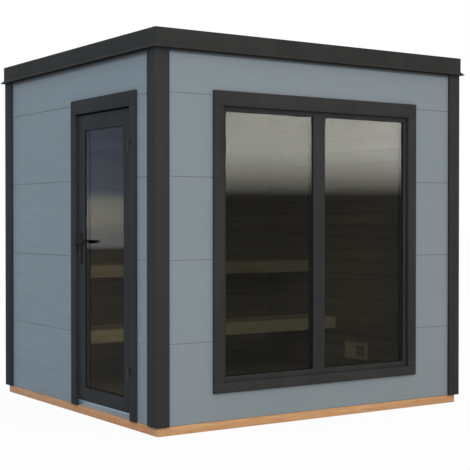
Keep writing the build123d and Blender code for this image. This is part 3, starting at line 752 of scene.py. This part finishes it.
lever_pieces.append(board(
    "spindle", (leaf_low.x - spindle_out, spindle_y - spindle_half, spindle_z - spindle_half),
    (leaf_high.x + spindle_out, spindle_y + spindle_half, spindle_z + spindle_half), spindle_ease))
fit(joined("lever_pair", lever_pieces), handle_finish, "lever", "handle_metal", "door_levers")

key_low, key_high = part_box("lock_cylinder")
key_round = (key_high.z - key_low.z) / 2
key_z = (key_high.z + key_low.z) / 2
plug_deep = 0.012
plug_ease = 0.0005
plug_rim = 0.0016
plug_face = 0.999
slot_shares = (1, 0.18, 0.72)
slot_deep = 0.005
cylinder_pieces = []
for facing, end_x in ((-1, key_low.x), (1, key_high.x)):
    plug = disc("plug", (end_x - facing * plug_deep / 2, spindle_y, key_z), key_round, plug_deep)
    ease_edges(plug, plug_ease)
    pick_faces(plug, lambda normal, middle: normal.x * facing > plug_face)
    bpy.ops.mesh.inset(thickness=plug_rim)
    bpy.ops.transform.resize(value=slot_shares, center_override=(end_x, spindle_y, key_z))
    bpy.ops.mesh.extrude_region_move(TRANSFORM_OT_translate={"value": (-facing * slot_deep, 0, 0)})
    bpy.ops.object.mode_set(mode="OBJECT")
    bpy.ops.object.shade_smooth_by_angle(angle=smooth_turn)
    cylinder_pieces.append(plug)
steel_finish, steel_tree, steel_shader = start_finish("cylinder_steel", rough=0.3)
steel_shader.inputs["Metallic"].default_value = 1.0
steel_turn = grain(steel_tree, no_stretch, scale=900.0, detail=2.0)
steel_tone = two_tones(steel_tree, steel_turn, (0.024, 0.023, 0.022), (0.036, 0.035, 0.033))
steel_tree.links.new(steel_tone, steel_shader.inputs["Base Color"])
fit(joined("key_cylinder", cylinder_pieces), steel_finish, "door", "handle_metal", "lock_cylinder")


# Hinges: two coated lift-off hinges, half on the casing and half on the leaf, on a pin of their own.
# Countersunk screws hold each flap.
# Painted light: the hinges' coat is painted paler than the trims to lift the shade beside the knuckles.
hinge_painted_light_finish = dark_finish("hinge_coat_painted_light", (0.05, 0.0515, 0.0525), rough=0.5, fleck=700.0, depth=0.0002)
dress("hinge_halves_casing", hinge_painted_light_finish)
dress("hinge_halves_leaf", hinge_painted_light_finish)
flap_thick = 0.0025
flap_high = 0.039
flap_screw = 0.0028
flap_edge = 0.010
flap_shares = (0.27, 0.73)


def flap_screws(name, body, node, face_x, from_edge):
    """Two countersunk screws in the flap of each hinge half: the casing's flap is low, the leaf's high."""
    heads = []
    for low, high in solids(node):
        screw_y = low[1] + from_edge if from_edge > 0 else high[1] + from_edge
        foot = low[2] if from_edge > 0 else high[2] - flap_high
        for share in flap_shares:
            heads.append(screw_head((face_x, screw_y, foot + share * flap_high), -1, flap_screw))
    fit(joined(name, heads), hinge_painted_light_finish, body, "hinge_metal")


casing_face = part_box("door_casing")[0].x
flap_screws("casing_hinge_screws", "building", "hinge_halves_casing", casing_face - flap_thick, flap_edge)
flap_screws("leaf_hinge_screws", "door", "hinge_halves_leaf", leaf_low.x - flap_thick, -flap_edge)


# Benches: pale softwood boards, planed and round edged, on cross rails behind the front boards.
# Each has a deep front board, painted paler near the door and darker towards the far end, painted light for
# the daylight from the door.
# Its seat boards lie side by side with air gaps between them.
bench_pale = (0.72, 0.53, 0.33)
bench_deep = (0.57, 0.39, 0.222)
painted_daylight_run = (-0.5, 0.4)
bench_ease = 0.004
bench_x = wood_finish("bench_wood_long", bench_pale, bench_deep, "x", rough=0.5)
bench_y = wood_finish("bench_wood_short", bench_pale, bench_deep, "y")


def painted_daylight_finish(name, door_end, far_end):
    """Bench wood with painted light: its tone falls off along the room, painted paler at the door's end,
    where daylight falls, than at the far one.
    """
    material = wood_finish(name, bench_pale, bench_deep, "x", rough=0.5)
    tree = material.node_tree
    fall = spread(tree, axis_value(tree, "X"), *painted_daylight_run)
    tone = tones(tree, fall, [(0.0, [door_end] * 3), (1.0, [far_end] * 3)])
    colour = tree.nodes["Principled BSDF"].inputs["Base Color"]
    tree.links.new(shade(tree, colour.links[0].from_socket, tone), colour)
    return material


# Painted light: the lower front board is painted paler than the upper one, for the daylight from the door
# and the window that falls on it.
upper_finish = painted_daylight_finish("bench_wood_upper_front", door_end=0.98, far_end=0.68)
lower_finish = painted_daylight_finish("bench_wood_lower_front", door_end=1.15, far_end=0.95)
board_set("upper_bench_seat", "upper_bench_slats", bench_ease, bench_x, "bench_wood")
board_set("upper_bench_front_board", "upper_bench_front", bench_ease, upper_finish, "bench_wood")
board_set("lower_bench_seat", "lower_bench_slats", bench_ease, bench_x, "bench_wood")
board_set("lower_bench_edge_boards", "lower_bench_front", bench_ease, lower_finish, "bench_wood")
dress("upper_bench_rails", bench_y)
dress("lower_bench_rails", bench_y)


# Air vent: a wooden box frame on the right wall with a slide that covers half of it.
# It is planed from the same wood as the benches, and a wire screen closes the hole behind it.
dress("air_vent_frame", bench_y)
dress("air_vent_slider", bench_y)
vent_low, vent_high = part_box("air_vent_frame")
vent_border = 0.020
slide_lap = 0.005
hole_y = (vent_low.y + vent_border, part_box("air_vent_slider")[0].y - slide_lap)
hole_z = (vent_low.z + vent_border, vent_high.z - vent_border)
screen_behind = 0.004
screen_play = 0.001
wire_thick = 0.0018
bpy.ops.object.select_all(action="DESELECT")
bpy.ops.mesh.primitive_grid_add(
    x_subdivisions=22, y_subdivisions=26, size=1.0, rotation=(0, math.pi / 2, 0),
    location=(vent_high.x + screen_behind, sum(hole_y) / 2, sum(hole_z) / 2))
screen = bpy.context.object
screen.name = "vent_screen"
screen.scale = (hole_z[1] - hole_z[0] - screen_play, hole_y[1] - hole_y[0] - screen_play, 1.0)
bpy.ops.object.transform_apply(location=True, rotation=True, scale=True)
bpy.ops.object.modifier_add(type="WIREFRAME")
screen.modifiers[0].thickness = wire_thick
bpy.ops.object.modifier_apply(modifier=screen.modifiers[0].name)
bpy.ops.object.mode_set(mode="EDIT")
bpy.ops.mesh.select_mode(type="EDGE")
bpy.ops.mesh.select_all(action="DESELECT")
bpy.ops.mesh.select_non_manifold(extend=False)
bpy.ops.mesh.bridge_edge_loops()
bpy.ops.object.mode_set(mode="OBJECT")
wire_finish = dark_finish("screen_wire", (0.37, 0.325, 0.26), rough=0.45, fleck=900.0, depth=0.0002)
fit(screen, wire_finish, "building", "hinge_metal")


# Roof: a timber deck inside a low kerb, covered with a rubber membrane laid in lapped widths.
# The membrane is turned up on the inside of the kerb all round.
# A folded and coated steel sheet covers the kerb and hangs down as a fascia with a drip edge.
deck_finish = wood_finish("roof_timber_sawn", (0.46, 0.33, 0.19), (0.34, 0.23, 0.12), "x", rough=0.65)
dress("roof_deck", deck_finish)
dress("roof_kerb", deck_finish)
felt_finish = dark_finish("roof_rubber", (0.035, 0.035, 0.037), rough=0.75, fleck=260.0, depth=0.0012)
dress("roof_membrane", felt_finish)
felt_low, felt_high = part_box("roof_membrane")
felt_ease = 0.0008
lap_wide = 0.060
lap_thick = 0.002
lap_short = 0.003
lap_places = (-0.340, 0.360)
lap_strips = []
for lap_y in lap_places:
    lap_low = (felt_low.x + lap_short, lap_y - lap_wide / 2, felt_high.z)
    lap_high = (felt_high.x - lap_short, lap_y + lap_wide / 2, felt_high.z + lap_thick)
    lap_strips.append(board("lap", lap_low, lap_high, felt_ease))
fit(joined("membrane_laps", lap_strips), felt_finish, "building", "roof_felt")


def band_beside(out, edge, gap, thick):
    """The two sides of a thin band that stands beside an edge, at one end of the plan or the other."""
    return sorted((out * (edge + gap), out * (edge + thick)))


upstand_thick = 0.0022
upstand_short = 0.0025
upstand_drop = 0.0005
upstand_z = (felt_high.z + face_gap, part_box("roof_kerb")[1].z - upstand_drop)
upstands = []
for out in (-1, 1):
    thick_x = band_beside(out, felt_high.x, -face_gap, -upstand_thick)
    upstands.append(board(
        "upstand", (thick_x[0], felt_low.y + face_gap, upstand_z[0]),
        (thick_x[1], felt_high.y - face_gap, upstand_z[1]), felt_ease))
    thick_y = band_beside(out, felt_high.y, -face_gap, -upstand_thick)
    upstands.append(board(
        "upstand", (felt_low.x + upstand_short, thick_y[0], upstand_z[0]),
        (felt_high.x - upstand_short, thick_y[1], upstand_z[1]), felt_ease))
fit(joined("membrane_upstands", upstands), felt_finish, "building", "roof_felt")
dress("roof_fascia", dark_finish(
    "fascia_coat", (0.038, 0.0385, 0.038), rough=0.48, fleck=800.0, depth=0.0002))


# Roof edge shadow strip: a dark strip along the top of each wall, pressed in behind the drip edge, is
# painted shadow for the shade under the drip edge.
# It runs from one corner trim to the next, between the panels and the roof.
# Its lower edge fades paler, a painted fade of that shadow.
left_front, right_front = solids("corner_posts_front")
left_back = solids("corner_posts_back")[0]
wall_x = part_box("right_wall_panels")[1].x
wall_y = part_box("back_wall_panels")[1].y
shade_strip_thick = 0.006
shade_strip_high_x = 0.036
shade_strip_high_y = 0.043
shade_strip_ease = 0.0025
shade_strip_play = 0.0005
shade_strip_top = left_front[1][2] - shade_strip_play
shade_strip_foot_x = shade_strip_top - shade_strip_high_x
shade_strip_foot_y = shade_strip_top - shade_strip_high_y
shade_strip_x = (left_front[1][0] + shade_strip_play, right_front[0][0] - shade_strip_play)
shade_strip_y = (left_front[1][1] + shade_strip_play, left_back[0][1] - shade_strip_play)
shadow_fade_rise = 0.032
shade_strip_boards = []
for out in (-1, 1):
    thick_y = band_beside(out, wall_y, face_gap, shade_strip_thick)
    shade_strip_boards.append(board(
        "shade_strip_piece", (shade_strip_x[0], thick_y[0], shade_strip_foot_x), (shade_strip_x[1], thick_y[1], shade_strip_top), shade_strip_ease))
    thick_x = band_beside(out, wall_x, face_gap, shade_strip_thick)
    shade_strip_boards.append(board(
        "shade_strip_piece", (thick_x[0], shade_strip_y[0], shade_strip_foot_y), (thick_x[1], shade_strip_y[1], shade_strip_top), shade_strip_ease))
shade_strip_finish, shade_strip_tree, shade_strip_shader = start_finish("edge_strip_painted_shadow", rough=0.8, shine=0.05)
# Painted shadow: the colour fades from a grey near the panels' grey at the foot to black at the top.
shade_strip_height = spread(shade_strip_tree, axis_value(shade_strip_tree, "Z"), shade_strip_foot_y, shade_strip_foot_y + shadow_fade_rise)
painted_shadow_fade = tones(shade_strip_tree, shade_strip_height, [
    (0.0, (0.19, 0.21, 0.225)), (0.75, (0.045, 0.05, 0.052)), (1.0, (0.018, 0.02, 0.02))])
shade_strip_cells = grain(shade_strip_tree, no_stretch, scale=520.0, detail=3.0)
shade_strip_speck = two_tones(shade_strip_tree, shade_strip_cells, [0.75] * 3, full_tone)
shade_strip_tree.links.new(shade(shade_strip_tree, painted_shadow_fade, shade_strip_speck), shade_strip_shader.inputs["Base Color"])
relief(shade_strip_tree, shade_strip_shader, shade_strip_cells, depth=0.0006, strength=0.4)
fit(joined("roof_edge_painted_shadow", shade_strip_boards), shade_strip_finish, "building", "dark_trim")


# Floor, light and camera of the picture: a pale floor, a pale room and soft lamps.
# The camera stands where the photograph was taken from.
def seen_rays(tree):
    """One for rays that the camera, a mirror or glass sends, and nought for light."""
    rays = tree.nodes.new("ShaderNodeLightPath")
    mirrored = reckon(tree, "MAXIMUM", rays.outputs["Is Camera Ray"], rays.outputs["Is Glossy Ray"])
    return reckon(tree, "MAXIMUM", mirrored, rays.outputs["Is Transmission Ray"])


bpy.ops.object.select_all(action="DESELECT")
bpy.ops.mesh.primitive_plane_add(size=120.0, location=(0, 0, 0))
ground = bpy.context.object
ground.name = "studio_floor"
ground_finish, ground_tree, ground_shader = start_finish("studio_floor_pale", rough=0.9, shine=0.0)
ground_shader.inputs["Base Color"].default_value = (0.66, 0.66, 0.66, 1.0)
glow_share = 0.93
floor_glow = ground_tree.nodes.new("ShaderNodeEmission")
floor_glow.inputs["Color"].default_value = (1.0, 1.0, 1.0, 1.0)
paper = ground_tree.nodes.new("ShaderNodeBsdfDiffuse")
paper.inputs["Color"].default_value = (0.95, 0.95, 0.95, 1.0)
shown_floor = either_shader(
    ground_tree, glow_share, paper.outputs["BSDF"], floor_glow.outputs["Emission"])
ground_surface = either_shader(
    ground_tree, seen_rays(ground_tree), ground_shader.outputs["BSDF"], shown_floor)
ground_tree.links.new(ground_surface, ground_tree.nodes["Material Output"].inputs["Surface"])
ground.data.materials.append(ground_finish)

room = bpy.data.worlds.new("pale_room")
room.use_nodes = True
bpy.context.scene.world = room
room_tree = room.node_tree
warm_way = (0.65, -0.76, 0.0)
cool_cast = (0.33, 0.57, 0.8)
warm_cast = (1.11, 0.955, 0.78)
level_strength = 0.62
zenith_strength = 1.35
way = room_tree.nodes.new("ShaderNodeTexCoord")
side = room_tree.nodes.new("ShaderNodeVectorMath")
side.operation = "DOT_PRODUCT"
side.inputs[1].default_value = warm_way
room_tree.links.new(way.outputs["Generated"], side.inputs[0])
warmth = spread(room_tree, side.outputs["Value"], -1.0, 1.0)
cast = tones(room_tree, warmth, [(0.0, cool_cast), (1.0, warm_cast)])
height = room_tree.nodes.new("ShaderNodeSeparateXYZ")
room_tree.links.new(way.outputs["Generated"], height.inputs["Vector"])
dome = spread(room_tree, height.outputs["Z"], 0.0, 1.0, level_strength, zenith_strength)
soft = room_tree.nodes["Background"]
room_tree.links.new(cast, soft.inputs["Color"])
room_tree.links.new(dome, soft.inputs["Strength"])
pale_wall = room_tree.nodes.new("ShaderNodeBackground")
pale_wall.inputs["Color"].default_value = (1.0, 1.0, 1.0, 1.0)
pale_wall.inputs["Strength"].default_value = 1.0
room_surface = either_shader(
    room_tree, seen_rays(room_tree), soft.outputs["Background"], pale_wall.outputs["Background"])
room_tree.links.new(room_surface, room_tree.nodes["World Output"].inputs["Surface"])


def soft_lamp(name, place, aim, wide, high, power, glow, only=()):
    """A softbox at a place, turned towards a point, its glow given from its foot to its top.
    Panes show it and the camera doesn't. Where nodes are named, it lights only those."""
    bpy.ops.object.light_add(type="AREA", location=place)
    lamp = bpy.context.object
    lamp.name = name
    lamp.data.shape = "RECTANGLE"
    lamp.data.size = wide
    lamp.data.size_y = high
    lamp.data.energy = power
    towards = [b - a for a, b in zip(place, aim)]
    level = math.hypot(towards[0], towards[1])
    lamp.rotation_euler = (math.atan2(level, -towards[2]), 0, math.atan2(-towards[0], towards[1]))
    lamp.visible_camera = False
    if only:
        lit = bpy.data.collections.new(name)
        for node in only:
            lit.objects.link(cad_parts[node])
        lamp.light_linking.receiver_collection = lit
    lamp.data.use_nodes = True
    tree = lamp.data.node_tree
    spot = tree.nodes.new("ShaderNodeNewGeometry")
    split = tree.nodes.new("ShaderNodeSeparateXYZ")
    tree.links.new(spot.outputs["Parametric"], split.inputs["Vector"])
    colour = tones(tree, split.outputs["Y"], glow)
    tree.links.new(colour, tree.nodes["Emission"].inputs["Color"])


window_glow = [
    (0.02, (0, 0, 0)), (0.26, (0.55, 0.52, 0.46)), (0.46, (0.95, 0.91, 0.82)), (1.0, (1.0, 0.96, 0.85))]
soft_lamp("window_softbox", place=(9.13, -12.99, 2.65), aim=(0, -1.1, 1.9), wide=6.6, high=1.9,
          power=1320.0, glow=window_glow, only=["window_glass"])
door_glow = [
    (0.0, (0, 0, 0)), (0.04, (0.6, 0.64, 0.68)), (0.15, (0.7, 0.72, 0.7)), (0.2, (1.0, 0.98, 0.88)),
    (0.36, (0.95, 0.95, 0.88)), (0.44, (0.25, 0.33, 0.48)), (1.0, (0.165, 0.245, 0.41))]
soft_lamp("door_softbox", place=(-7.3, 8.75, 1.85), aim=(-1.2, -0.4, 1.5), wide=5.0, high=2.1,
          power=248.0, glow=door_glow, only=["door_glass"])
even_glow = [(0.0, full_tone), (1.0, full_tone)]
soft_lamp("key_softbox", place=(-10.2, -17.1, 9.0), aim=(0, 0, 1.3), wide=12.0, high=8.0,
          power=1750.0, glow=even_glow)

turn = math.radians(33.798)
tip = math.radians(0.7128)
bpy.ops.object.camera_add(
    location=(-4.59819, -6.99292, 1.27124), rotation=(math.pi / 2 - tip, 0, -turn))
camera = bpy.context.object
camera.data.lens = 88.98
camera.data.sensor_width = 36.0
camera.data.clip_end = 200.0
bpy.context.scene.camera = camera
bpy.context.scene.view_settings.view_transform = "Standard"
